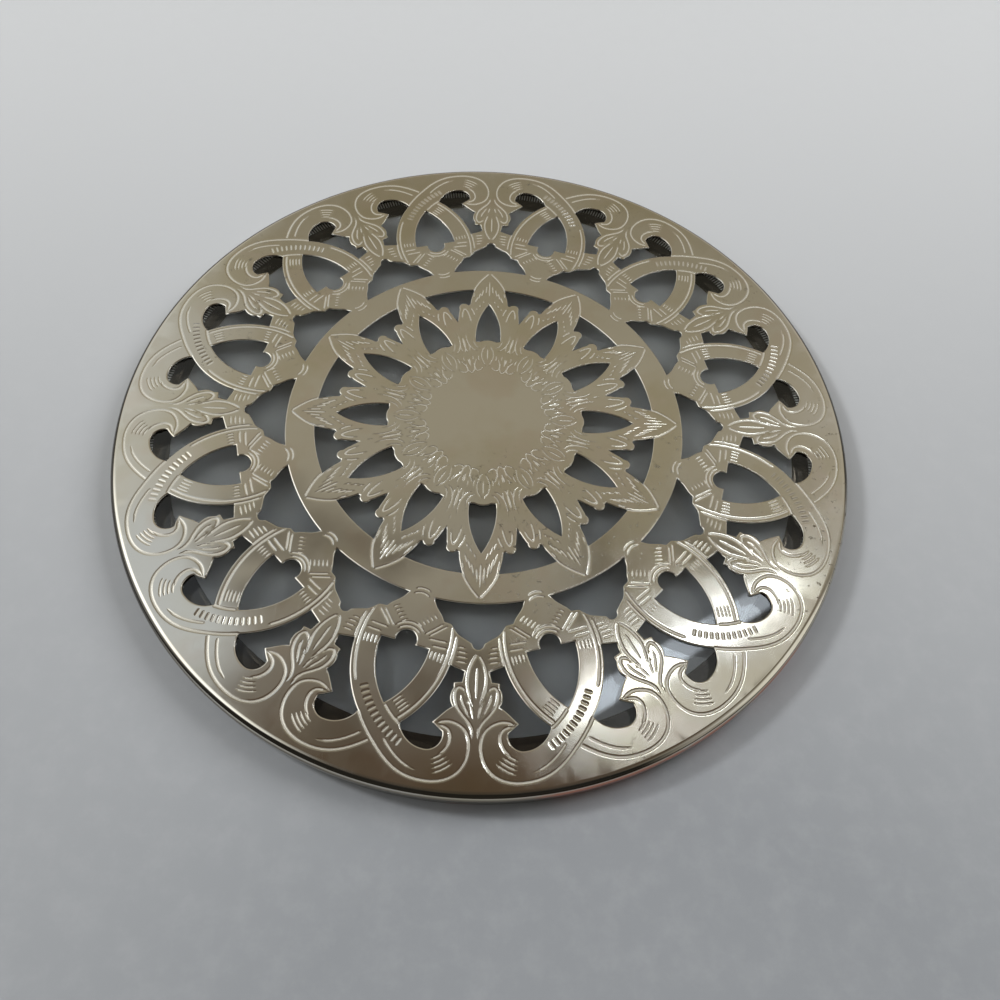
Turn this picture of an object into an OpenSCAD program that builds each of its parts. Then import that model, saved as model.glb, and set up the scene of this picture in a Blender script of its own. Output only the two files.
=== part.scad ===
// Round table trivet: a pierced, silver-plated sheet spun over the edge of a clear glass disc.
// The origin is the middle of the underside, +Z is up, and lengths are in millimetres.

/* [Overall] */
// Outside diameter over the rim
trivet_d = 178; // [140:1:240]
// Plain border between the outermost piercing and the outside of the rim
border_w = 9.6; // [7:0.1:14]

/* [Sheet metal] */
// Thickness of the plated sheet
sheet_t = 0.5; // [0.3:0.05:1]
// Outside radius of the shoulder between the top and the rim
shoulder_r = 1.9; // [1.2:0.1:2.6]
// Outside radius of the turn under the glass
turn_r = 1.2; // [1.1:0.1:2]
// Width of the lip that is turned under the glass and shows through the eyes of the scrolls
lip_w = 12.6; // [8:0.1:14]

/* [Glass] */
// Thickness of the glass disc
glass_t = 5; // [4:0.1:8]
// Gap between the edge of the glass and the rim
edge_clearance = 0.2; // [0.1:0.05:0.5]
// Gap between the glass and the underside of the plate
top_clearance = 0.1; // [0.05:0.05:0.3]

/* [Ring and medallion] */
// Outside radius of the plain ring on the drawing of the fret
ring_r = 48.5; // [46.5:0.1:50.5]
// Width of the plain ring
ring_w = 7; // [5:0.1:8]

/* [Straps] */
// Sideways offset of the centre that a strap bends about
strap_bend_x = 12.8; // [12:0.1:13.6]
// Radius on the plate of the centre that a strap bends about
strap_bend_y = 60; // [59:0.1:61]
// Inside radius of the bend of a strap
strap_bend_r = 18.15; // [17.4:0.05:18.8]
// Width of a strap
strap_w = 5.25; // [4.6:0.05:5.8]
// Radius on the plate of the sill of the arched window
sill_r = 59.6; // [58.8:0.1:61]
// Radius of the round notch in the sill
notch_r = 2.3; // [1.8:0.1:2.8]
// Drop of the middle of that notch below the sill
notch_drop = 0.6; // [0.2:0.1:1]

/* [Scrolls and palmettes] */
// Radius of the round inner end of the eye beside the palmette
eye_r = 3.05; // [2.6:0.05:3.3]
// Radius of the long upper edge of the eye
brow_r = 6.15; // [5.9:0.05:6.5]
// Radius of the side lobes of the palmette
lobe_r = 3.35; // [2.9:0.05:3.6]
// Radius of the round head of the window below the palmette
head_r = 1.25; // [1:0.05:1.5]

/* [Petals] */
// Radius of the two sides of the slot in a petal
slot_side_r = 19.7; // [19.2:0.1:20.4]
// Half the width of that slot at its foot
slot_half_w = 3.2; // [2.6:0.1:3.6]
// Radius on the plate of the foot of the slot
slot_foot_r = 23.8; // [23:0.1:25]
// Rise of the dome in the foot of the slot
slot_dome_rise = 0.5; // [0.2:0.1:1]
// Radius of the tip of a leaflet between two petals
leaflet_r = 1.35; // [1:0.05:1.6]

/* [Hidden] */
$fn = 96;

trivet_r = trivet_d / 2;
height = sheet_t + glass_t + top_clearance + sheet_t;
over = 1;

// Palmettes, knots and petals round the plate
repeats = 12;
pitch = 360 / repeats;

// The fret is drawn at natural size on this radius and follows the plate
drawn_r = 79.4;
fret_scale = (trivet_r - border_w) / drawn_r;

glass_r = trivet_r - sheet_t - edge_clearance;
lip_edge_r = trivet_r - lip_w + sheet_t / 2;

// Points of the fret, with the middle line of the motif along +Y
eye_c = [9.65, drawn_r - eye_r];
brow_c = [9.3, drawn_r - brow_r];
lobe_c = [2.05, 68.9];
scroll_tip = [8.75, 74.05];
scroll_crook = [7.6, 75.15];
scroll_nape = [6.3, 76.2];
scroll_chin = [6.05, 71.6];
lobe_top = [5.2, 71.35];
lobe_foot = [4.8, 65.9];
stem_top = [3.1, 65.7];
stem_foot = [2.6, 63.5];
collar_end = [6.4, 61.9];
strap_inside = [17, 72];

// Right half of the stepped window below the palmette, from its head to the ring
foot_window = [
    [head_r, 57.5],
    [3, 56.35],
    [4.2, 55.6],
    [4.9, 54.8],
    [5.8, 53.3],
    [7.4, 52.75],
    [7.9, 51.5],
    [9.2, 49.3],
    [9.9, 47],
    [9.9, 30],
];
foot_window_head = [0, 57.5];

// Right half of the window between two petals, from the ring to the foot of its V
petal_gap = [
    [9.5, 46.1],
    [6.85, 41.1],
    [5.2, 38],
    [4.55, 36.3],
    [3.9, 36.05],
    [2, 36.2],
    [1.2, 34.7],
    [0.65, 33],
    [0, 31],
];
leaflet_c = [2.75, 36.9 - leaflet_r];

// The sides of the slot in a petal bend about this height over its foot, and its dome has this radius
slot_bend_rise = 1.9;
slot_dome_r = 4.1;

// Mirrors a half outline over the middle line and joins the two halves
function both_sides(half) = concat(
    half,
    [for (i = [len(half) - 1 : -1 : 0]) [-half[i].x, half[i].y]]
);

module mirrored() {
    children();
    mirror([1, 0]) children();
}

// Pointed arch: where two discs about centres on either side of the middle line overlap, above a sill
module pointed_arch(centre_x, centre_y, side_r, sill_y) {
    intersection() {
        translate([-centre_x, centre_y]) circle(side_r);
        translate([centre_x, centre_y]) circle(side_r);
        translate([-side_r, sill_y]) square(2 * side_r);
    }
}

// Arched window between the two straps of a knot, with a round notch in its sill
module strap_window() {
    pointed_arch(strap_bend_x, strap_bend_y, strap_bend_r, sill_r);
    translate([0, sill_r - notch_drop]) circle(notch_r);
}

// Window between a palmette and the strap on its right: an eye in the scroll above a narrow throat
module scroll_window() {
    difference() {
        union() {
            translate(eye_c) circle(eye_r);
            intersection() {
                translate(brow_c) circle(brow_r);
                translate([eye_c.x, strap_inside.y]) square(2 * brow_r);
            }
            polygon([
                eye_c, scroll_tip, scroll_chin, lobe_top, [lobe_foot.x, lobe_top.y], lobe_foot,
                stem_top, stem_foot, collar_end, strap_inside,
            ]);
        }
        rotate(-pitch / 2) translate([strap_bend_x, strap_bend_y]) circle(strap_bend_r + strap_w);
        translate(lobe_c) circle(lobe_r);
        polygon([scroll_tip, scroll_crook, scroll_nape, [lobe_c.x, scroll_nape.y], lobe_c, scroll_chin]);
    }
}

// Stepped window between the foot of a palmette and the ring
module palmette_foot_window() {
    difference() {
        union() {
            polygon(both_sides(foot_window));
            translate(foot_window_head) circle(head_r);
        }
        circle(ring_r);
    }
}

// Window between the ring and two petals, with a leaflet on each side of its V
module petal_gap_window() {
    difference() {
        intersection() {
            circle(ring_r - ring_w);
            polygon(both_sides(petal_gap));
        }
        mirrored() translate(leaflet_c) circle(leaflet_r);
    }
}

// Slot in a petal: a slender pointed arch with a domed sill
module petal_slot() {
    difference() {
        pointed_arch(slot_side_r - slot_half_w, slot_foot_r + slot_bend_rise, slot_side_r, slot_foot_r);
        translate([0, slot_foot_r + slot_dome_rise - slot_dome_r]) circle(slot_dome_r);
    }
}

// All the piercings of one motif and of the knot on its right
module motif() {
    mirrored() scroll_window();
    palmette_foot_window();
    petal_slot();
    rotate(-pitch / 2) {
        strap_window();
        petal_gap_window();
    }
}

module fret() {
    scale(fret_scale)
        for (i = [0 : repeats - 1])
            rotate(i * pitch) motif();
}

// Half section of a disc of radius r from z0 to z1, with its top and bottom corners rounded
module rounded_half(r, z0, z1, top_r, bottom_r) {
    translate([0, z0]) square([r - max(top_r, bottom_r), z1 - z0]);
    translate([0, z0 + bottom_r]) square([r, z1 - z0 - top_r - bottom_r]);
    translate([0, z0]) square([r - bottom_r, bottom_r]);
    translate([0, z1 - top_r]) square([r - top_r, top_r]);
    translate([r - top_r, z1 - top_r]) circle(top_r);
    translate([r - bottom_r, z0 + bottom_r]) circle(bottom_r);
}

// Half section of the sheet: the flat top, the rim, the turn and the lip with its rounded edge
module sheet_section() {
    difference() {
        rounded_half(trivet_r, 0, height, shoulder_r, turn_r);
        rounded_half(trivet_r - sheet_t, sheet_t, height - sheet_t, shoulder_r - sheet_t, turn_r - sheet_t);
        translate([0, -over]) square([lip_edge_r, over + 2 * sheet_t]);
    }
    translate([lip_edge_r, sheet_t / 2]) circle(sheet_t / 2);
}

// Clear disc, ground round its edge so that it follows the sheet inside the rim
module glass_disc() {
    color("lightcyan", 0.4)
        rotate_extrude()
            rounded_half(glass_r, sheet_t, sheet_t + glass_t, shoulder_r - sheet_t, turn_r - sheet_t);
}

// Pierced plate with its rim and lip, all from one sheet
module pierced_top() {
    color("silver")
        difference() {
            rotate_extrude() sheet_section();
            translate([0, 0, height - sheet_t - top_clearance / 2])
                linear_extrude(sheet_t + over) fret();
        }
}

glass_disc();
pierced_top();
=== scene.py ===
import logging
import math
from dataclasses import dataclass
from enum import Enum

import bmesh
import bpy
import numpy as np
from mathutils import Matrix, Vector, geometry


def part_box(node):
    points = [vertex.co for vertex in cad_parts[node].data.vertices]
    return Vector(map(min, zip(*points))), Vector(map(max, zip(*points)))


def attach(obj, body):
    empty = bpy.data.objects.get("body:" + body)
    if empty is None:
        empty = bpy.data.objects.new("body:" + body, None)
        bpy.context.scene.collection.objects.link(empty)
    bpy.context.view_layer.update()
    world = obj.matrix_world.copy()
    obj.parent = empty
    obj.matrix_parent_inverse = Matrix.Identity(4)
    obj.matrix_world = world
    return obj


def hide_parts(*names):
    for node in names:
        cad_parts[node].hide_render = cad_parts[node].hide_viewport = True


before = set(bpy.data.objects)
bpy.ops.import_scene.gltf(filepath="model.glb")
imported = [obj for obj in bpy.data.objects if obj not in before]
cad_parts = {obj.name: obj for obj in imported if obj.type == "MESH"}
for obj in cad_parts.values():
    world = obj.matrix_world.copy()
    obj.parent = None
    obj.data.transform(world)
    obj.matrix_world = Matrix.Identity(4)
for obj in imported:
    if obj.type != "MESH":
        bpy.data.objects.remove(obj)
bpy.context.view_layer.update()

log = logging.getLogger("trivet")

Pair = tuple[float, float]
Point = tuple[float, float]
Line = tuple[Point, ...]
Place = tuple[float, float, float]
Rgb = tuple[float, float, float]
# Low and high value and, where these don't become 0 and 1, what they become
Ramp = tuple[float, ...]
Socket = bpy.types.NodeSocket

# Metres: a millimetre, what lies on one level, and what is one point
MM = 0.001
LEVEL = 1e-6
WELD = 3e-6
# Keeps a share of nothing from being a division by zero
TINY = 1e-9
# Palmettes round the plate, and the angle from one to the next
REPEATS = 12
PITCH = 2 * math.pi / REPEATS


class Tool(Enum):
    """Chasing tools: half width and depth in mm of the line that each leaves, and how matt that line is."""

    LINER = (0.56, 0.07, 1.0)
    VEINER = (0.46, 0.057, 1.0)
    TRACER = (0.38, 0.05, 1.0)
    GRAVER = (0.42, 0.05, 0.93)
    BEADER = (0.58, 0.12, 0.9)

    @property
    def half_width(self) -> float:
        """Half the width of the line, in mm."""
        return self.value[0]

    @property
    def depth(self) -> float:
        """Depth of the middle of the line, in mm."""
        return self.value[1]

    @property
    def matt(self) -> float:
        """How matt the line is, from 0 to 1."""
        return self.value[2]


class Side(Enum):
    """Where a stroke is repeated about the middle line that it is drawn on."""

    RIGHT = (1,)
    BOTH = (1, -1)


def turned(points: np.ndarray, angle: float) -> np.ndarray:
    """Rows of x and y, turned anticlockwise about the middle of the plate by an angle in radians."""
    c, s = math.cos(angle), math.sin(angle)
    return points @ np.array([[c, s], [-s, c]])


def from_middle(points: np.ndarray) -> np.ndarray:
    """Angle in radians between +Y and each flat point, to either side."""
    return np.abs(np.arctan2(points[:, 0], points[:, 1]))


def off_side(points: np.ndarray) -> np.ndarray:
    """Distance of each flat point from the nearer straight side of the sector that lies about +Y."""
    return np.abs(from_middle(points) - PITCH / 2) * np.hypot(*points.T)


def smooth_through(points: np.ndarray, step: float = 0.06) -> np.ndarray:
    """Lay a smooth curve through points, as a chaser swings a line from one mark to the next.

    Args:
        points: Rows of x and y in mm, two or more.
        step: Distance between the samples in mm.

    Returns:
        Rows of x and y that lie close together on the curve.
    """
    if len(points) < 3:
        count = max(2, int(np.linalg.norm(points[1] - points[0]) / step))
        t = np.linspace(0, 1, count)[:, None]
        return points[0] * (1 - t) + points[1] * t
    padded = np.vstack([2 * points[0] - points[1], points, 2 * points[-1] - points[-2]])
    knots = np.concatenate([[0], np.cumsum(np.sqrt(np.linalg.norm(np.diff(padded, axis=0), axis=1)))])
    out = []
    for i in range(1, len(padded) - 2):
        t0, t1, t2, t3 = knots[i - 1 : i + 3]
        p0, p1, p2, p3 = padded[i - 1 : i + 3]
        count = max(2, int(np.linalg.norm(p2 - p1) / step))
        t = np.linspace(t1, t2, count, endpoint=False)[:, None]
        a1 = (t1 - t) / (t1 - t0) * p0 + (t - t0) / (t1 - t0) * p1
        a2 = (t2 - t) / (t2 - t1) * p1 + (t - t1) / (t2 - t1) * p2
        a3 = (t3 - t) / (t3 - t2) * p2 + (t - t2) / (t3 - t2) * p3
        b1 = (t2 - t) / (t2 - t0) * a1 + (t - t0) / (t2 - t0) * a2
        b2 = (t3 - t) / (t3 - t1) * a2 + (t - t1) / (t3 - t1) * a3
        out.append((t2 - t) / (t2 - t1) * b1 + (t - t1) / (t2 - t1) * b2)
    return np.vstack(out + [points[-1:]])


def run_of(points: np.ndarray) -> np.ndarray:
    """Length along a chain of points up to each of them."""
    return np.concatenate([[0], np.cumsum(np.linalg.norm(np.diff(points, axis=0), axis=1))])


def thinned(points: np.ndarray, tolerance: float, longest: float) -> np.ndarray:
    """Keep only the samples that a curve needs.

    Args:
        points: Rows of x and y that lie close together on a curve.
        tolerance: How far the curve may leave its chords, in mm.
        longest: The longest chord in mm.

    Returns:
        The kept rows, with both ends.
    """
    keep = [0]
    while keep[-1] < len(points) - 1:
        start = keep[-1]
        end = start + 1
        while end < len(points) - 1:
            chord = points[end + 1] - points[start]
            length = np.linalg.norm(chord)
            between = points[start + 1 : end + 1] - points[start]
            off = np.abs(between @ np.array([-chord[1], chord[0]])) / max(length, TINY)
            if length > longest or off.max() > tolerance:
                break
            end += 1
        keep.append(end)
    return points[keep]


def arc(centre: Point, radius: float, start: float, end: float, step: float = 8.0) -> Line:
    """Points along a circular arc.

    Args:
        centre: Middle of the circle in mm.
        radius: Radius in mm.
        start: Angle of the first point in degrees.
        end: Angle of the last point in degrees.
        step: Greatest angle between two points in degrees.

    Returns:
        The points, close enough for a smooth curve through them.
    """
    count = max(3, int(abs(end - start) / step) + 2)
    angles = np.radians(np.linspace(start, end, count))
    return tuple((centre[0] + radius * math.cos(a), centre[1] + radius * math.sin(a)) for a in angles)


@dataclass(frozen=True)
class Stroke:
    """One chased line: the marks that it swings through, its tool and the taper at each end (mm).

    A sample is kept at the end of each taper and at the early share of it, so that the point is round.
    """

    points: Line
    tool: Tool = Tool.LINER
    side: Side = Side.BOTH
    taper: Pair = (0.9, 0.9)
    early: float = 0.3

    def placed(self, angle: float) -> list["Groove"]:
        """Lay the line on the plate about a middle line.

        Args:
            angle: Angle in radians between that middle line and +Y.

        Returns:
            One groove for each side that the line is on.
        """
        grooves = []
        for sign in self.side.value:
            curve = smooth_through(np.array(self.points) * (sign, 1))
            run = run_of(curve)
            head, tail = self.taper
            stops = (self.early * head, head, run[-1] - tail, run[-1] - self.early * tail)
            marks = sorted({0, len(curve) - 1, *(int(np.abs(run - stop).argmin()) for stop in stops)})
            parts = [
                thinned(curve[a : b + 1], tolerance=0.02, longest=1.8)[:-1]
                for a, b in zip(marks, marks[1:])
            ]
            path = np.vstack(parts + [curve[-1:]])
            grooves.append(Groove(turned(path, angle), self.tool, self.taper))
        return grooves


@dataclass
class Groove:
    """A chased line in its place, as a chain of short chords (mm)."""

    path: np.ndarray
    tool: Tool
    taper: Pair
    steepest: float = 0.28
    on_side: float = 0.01

    def half_widths(self) -> np.ndarray:
        """Work out how the line widens from its round points.

        Returns:
            The half width in mm at each point of the path.
        """
        run = run_of(self.path)
        head = run / self.taper[0] if self.taper[0] else np.ones_like(run)
        tail = (run[-1] - run) / self.taper[1] if self.taper[1] else np.ones_like(run)
        ease = np.clip(np.minimum(head, tail), 0, 1)
        return self.tool.half_width * np.sqrt(1 - (1 - ease) ** 2)

    def rows(self) -> list[np.ndarray]:
        """Lay the lines that the mesh needs to show the groove.

        Returns:
            Rows of points on its edges and steepest lines, and on its middle if that is a side of the sector.
        """
        step = np.gradient(self.path, axis=0)
        across = np.stack([-step[:, 1], step[:, 0]], axis=1)
        across /= np.linalg.norm(across, axis=1, keepdims=True)
        wide = self.half_widths()[:, None]
        middle = (0,) if (off_side(self.path) < self.on_side).all() else ()
        shares = (-1, -self.steepest, *middle, self.steepest, 1)
        return [self.path + across * wide * share for share in shares]


@dataclass
class Palmette:
    """The chased lines of a palmette and of the scroll on each side, with the middle line along +Y (mm)."""

    eye: Point = (9.65, 76.35)
    scroll_outline: Line = (
        (20.5, 78.05), (19.29, 79.73), (17.55, 81.74), (15.52, 83.43), (13.15, 84.63), (10.6, 85.3),
        (8, 85.5), (5.5, 85.05), (3.4, 83.85), (2.05, 82.1), (1.3, 79.9), (1.3, 77.6), (2, 75.8),
        (3.5, 74.5), (5.4, 73.85), (7, 74), (8.1, 74.3),
    )
    scroll_band: Line = (
        (11.3, 83.55), (13.8, 82.43), (15.84, 80.75), (17.4, 78.9), (18.4, 77.4),
    )
    eye_border: Line = (
        (7.5, 80.6), (6.05, 79.5), (5.2, 78), (5.05, 76.6), (5.6, 75.45), (6.8, 74.8), (7.9, 74.45),
    )
    scroll_hatch_r: tuple[float, ...] = (5, 5.9, 6.8, 7.7)
    scroll_hatch_angles: Pair = (99, 134)
    side_lobe: Line = (
        (0.6, 77.6), (0.65, 75.7), (1.35, 74.2), (2.6, 72.8), (3.85, 71.1), (4.4, 69.3), (4.35, 67.7),
        (3.75, 66.9), (2.9, 67.15), (2.1, 68.2),
    )
    lobe_veins: tuple[Line, ...] = (
        ((1.15, 73.2), (2.1, 71.5), (2.9, 69.8), (3.15, 68.3)),
        ((0.5, 73.4), (0.85, 71.6), (1.35, 70.1)),
    )
    middle_lobe: Line = (
        (0.75, 70.6), (1.55, 68.2), (2, 65.9), (1.75, 63.4), (1.05, 61.4), (0.12, 59.9),
    )
    midrib: Line = ((0, 69.4), (0, 66), (0, 62.6))
    collar_rows: tuple[tuple[Point, Point], ...] = (
        ((2.15, 61.75), (4.7, 61.3)),
        ((2, 60.7), (4.6, 60.25)),
        ((2.1, 59.65), (4.5, 59.2)),
        ((2.5, 58.6), (4.5, 58.2)),
    )

    def strokes(self) -> list[Stroke]:
        """Draw the palmette and its scrolls.

        Returns:
            Every line of them.
        """
        lines = [
            Stroke(self.scroll_outline, taper=(0.1, 1.2)),
            Stroke(self.scroll_band, Tool.VEINER, taper=(2.5, 0.6)),
            Stroke(self.eye_border, taper=(1.6, 1.2)),
            Stroke(self.side_lobe, taper=(2.5, 1.2)),
            Stroke(self.middle_lobe, taper=(1.8, 0.6)),
            Stroke(self.midrib, Tool.VEINER, Side.RIGHT, taper=(2, 1.2)),
        ]
        hatches = [arc(self.eye, r, *self.scroll_hatch_angles) for r in self.scroll_hatch_r]
        lines += [Stroke(hatch, Tool.TRACER) for hatch in hatches]
        lines += [Stroke(vein, Tool.VEINER, taper=(1.4, 1)) for vein in self.lobe_veins]
        lines += [Stroke(row, Tool.TRACER, taper=(0.7, 0.7)) for row in self.collar_rows]
        return lines


@dataclass
class Knot:
    """The chased lines of two crossing straps and the boss below, with the middle line along +Y (mm)."""

    bend: Point = (12.8, 60)
    outer_r: float = 23.4
    inner_r: float = 18.15
    edge_line_r: float = 22.4
    bead_r: Pair = (19.8, 21.75)
    bead_angles: Pair = (149, 111)
    beads: int = 12
    over_edge_angles: Pair = (197, 152.5)
    over_inner_angles: Pair = (134, 117)
    over_tip: Line = ((-4.75, 75.6), (-2.6, 78), (-0.2, 80.25), (0.5, 80.8))
    hatch_r: tuple[float, ...] = (18.95, 19.8, 20.65, 21.4)
    under_edge_angles: Pair = (-17, 43)
    under_hatch_angles: Pair = (32.5, 40.5)
    foot_edge_angles: Pair = (4.6, -12)
    foot_hatch_angles: Pair = (-0.6, 5.2)
    notch: Point = (0, 59)
    scallop_r: tuple[float, ...] = (3.05, 3.95)
    scallop_angles: Pair = (212, 328)
    cross_lines: tuple[Line, ...] = (
        ((5.5, 58.75), (7.4, 58.7), (9.1, 58.5)),
        ((4.4, 57.5), (6.6, 57.4), (8.7, 57.2)),
    )
    diagonals: tuple[Line, ...] = (
        ((3.35, 56.95), (5.2, 55.1), (6.75, 53.4)),
        ((4.35, 57.05), (6.1, 55.3), (7.8, 53.6)),
    )
    boss_hatches: int = 5
    boss_hatch_start: Point = (2.35, 55.55)
    boss_hatch_step: Point = (0.66, -0.66)
    boss_hatch_run: Point = (-1.4, -1.2)
    ring_scallops: tuple[Line, ...] = (
        ((1.9, 48.75), (1, 48.2), (0, 48), (-1, 48.2), (-1.9, 48.75)),
        ((1.8, 47.55), (1, 47.1), (0, 46.95), (-1, 47.1), (-1.8, 47.55)),
    )

    def over_strap(self) -> list[Stroke]:
        """Draw the strap that rises to the right and passes over the other.

        Returns:
            Its beads and edges.
        """
        only = Side.RIGHT
        x, y = self.bend
        beads = [
            tuple((x + r * math.cos(a), y + r * math.sin(a)) for r in self.bead_r)
            for a in np.radians(np.linspace(*self.bead_angles, self.beads))
        ]
        edge = arc(self.bend, self.edge_line_r, *self.over_edge_angles)
        inner = arc(self.bend, self.inner_r, *self.over_inner_angles)
        return [Stroke(bead, Tool.BEADER, only, taper=(0.4, 0.4)) for bead in beads] + [
            Stroke(edge, Tool.LINER, only, taper=(1, 0.8)),
            Stroke(self.over_tip, Tool.LINER, only, taper=(0.5, 0)),
            Stroke(inner, Tool.LINER, only, taper=(0.4, 0.4)),
        ]

    def under_strap(self) -> list[Stroke]:
        """Draw the strap that rises to the left and passes under the other.

        Returns:
            Its hatching and its edge.
        """
        only = Side.RIGHT
        bend = (-self.bend[0], self.bend[1])
        hatches = [arc(bend, r, *self.under_hatch_angles) for r in self.hatch_r]
        edge = arc(bend, self.edge_line_r, *self.under_edge_angles)
        lines = [Stroke(hatch, Tool.TRACER, only, taper=(0.7, 0.4)) for hatch in hatches]
        return lines + [Stroke(edge, Tool.LINER, only, taper=(1, 0.4))]

    def feet(self) -> list[Stroke]:
        """Draw the feet of both straps, their collars and the boss.

        Returns:
            Every line of them.
        """
        bend = (-self.bend[0], self.bend[1])
        lines = [Stroke(arc(bend, self.outer_r, *self.foot_edge_angles), taper=(0.3, 1))]
        hatches = [arc(bend, r, *self.foot_hatch_angles) for r in self.hatch_r]
        lines += [Stroke(hatch, Tool.TRACER, taper=(0.4, 0.8)) for hatch in hatches]
        lines += [Stroke(line, Tool.VEINER, taper=(0.6, 0.6)) for line in self.cross_lines + self.diagonals]
        for i in range(self.boss_hatches):
            x = self.boss_hatch_start[0] + i * self.boss_hatch_step[0]
            y = self.boss_hatch_start[1] + i * self.boss_hatch_step[1]
            run = (x + self.boss_hatch_run[0], y + self.boss_hatch_run[1])
            lines.append(Stroke(((x, y), run), Tool.TRACER, taper=(0.3, 1)))
        scallops = [arc(self.notch, r, *self.scallop_angles) for r in self.scallop_r]
        lines += [Stroke(scallop, Tool.VEINER, Side.RIGHT) for scallop in scallops]
        lines += [Stroke(line, Tool.VEINER, Side.RIGHT, taper=(0.6, 0.6)) for line in self.ring_scallops]
        return lines

    def strokes(self) -> list[Stroke]:
        """Every line of the knot."""
        return self.over_strap() + self.under_strap() + self.feet()


@dataclass
class Petal:
    """The chased lines of a petal, its leaflets and its part of the wreath, with its middle along +Y (mm)."""

    outline: Line = ((4.4, 40.5), (3.4, 42.9), (1.95, 45.2), (0.12, 47.4))
    midrib: Line = ((0, 45.2), (0, 42), (0, 38.9))
    feather: tuple[Line, ...] = (
        ((0.7, 43.9), (0.8, 41.8), (1, 39.7)),
        ((1.5, 42.6), (1.75, 40.6), (2.15, 38.7)),
        ((2.25, 41.2), (2.55, 39.4), (3.05, 37.6)),
        ((2.95, 39.7), (3.3, 38), (3.9, 36.4)),
        ((1.15, 38.4), (1.35, 37.4), (1.75, 36.3)),
        ((2, 37.1), (2.3, 36), (2.75, 34.9)),
        ((2.9, 35.8), (3.15, 34.8), (3.55, 33.8)),
        ((3.75, 41.3), (4, 39.8), (4.3, 38.2)),
    )
    leaflet_border: Line = ((3.55, 31.9), (4.15, 33.8), (5.1, 35.35))
    leaflet_loop: Line = (
        (4.4, 29.3), (4.9, 31.6), (5.75, 33.8), (6.4, 34.5), (6.9, 33.3), (6.85, 30.3),
    )
    stems: tuple[Line, ...] = (
        ((5.95, 27.4), (5.7, 24.9), (4.9, 22.7), (3.5, 21.1), (2.3, 20.7)),
        ((4.05, 25.3), (3.7, 23.5), (2.9, 22.1), (1.7, 21.5)),
        ((6.75, 25.7), (6.45, 23.5), (5.75, 21.4), (4.75, 19.8)),
        ((7.3, 23.3), (6.9, 21.4), (6, 19.6)),
    )
    wreath: tuple[Line, ...] = (
        ((0.15, 22.7), (1.25, 21), (1.5, 18.9), (0.9, 17), (0.1, 15.7)),
        ((1, 16.3), (1.45, 14.95), (2.5, 14.5), (3.2, 15.5), (3, 17.3), (2.45, 18.8)),
        ((2.1, 20), (2.3, 18.4), (1.85, 16.9)),
        ((4.15, 19.7), (3.65, 18.4), (3.75, 17)),
        ((4.9, 18.6), (4.4, 17.2), (4.45, 15.9)),
    )
    wreath_midrib: Line = ((0, 21.8), (0, 19.5), (0, 17.2))
    valley: tuple[Line, ...] = (
        ((0, 29.3), (0, 28.5), (0, 27.7)),
        ((0, 26.2), (0, 23.8), (0, 20.9)),
        ((-0.95, 17.6), (-0.98, 15.6), (0, 14.2), (0.98, 15.6), (0.95, 17.6)),
        ((0, 18.6), (0, 17.3), (0, 16)),
    )

    def strokes(self) -> list[Stroke]:
        """Draw the petal and the wreath inside it.

        Returns:
            Every line of them.
        """
        lines = [
            Stroke(self.outline, taper=(0.4, 0.5)),
            Stroke(self.midrib, Tool.VEINER, Side.RIGHT, taper=(2, 0.8)),
            Stroke(self.leaflet_border, Tool.VEINER),
            Stroke(self.leaflet_loop, Tool.VEINER, taper=(1.5, 1.5)),
            Stroke(self.wreath_midrib, Tool.GRAVER, Side.RIGHT, taper=(1, 1.5)),
        ]
        lines += [Stroke(vein, Tool.VEINER, taper=(1.6, 0.9)) for vein in self.feather]
        lines += [Stroke(stem, Tool.GRAVER, taper=(2, 1)) for stem in self.stems]
        lines += [Stroke(leaf, Tool.GRAVER, taper=(1, 1)) for leaf in self.wreath]
        return lines

    def valley_strokes(self) -> list[Stroke]:
        """The lines between two petals, on the middle line of a knot."""
        return [Stroke(line, Tool.GRAVER, Side.RIGHT, taper=(0.8, 0.8)) for line in self.valley]


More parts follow.
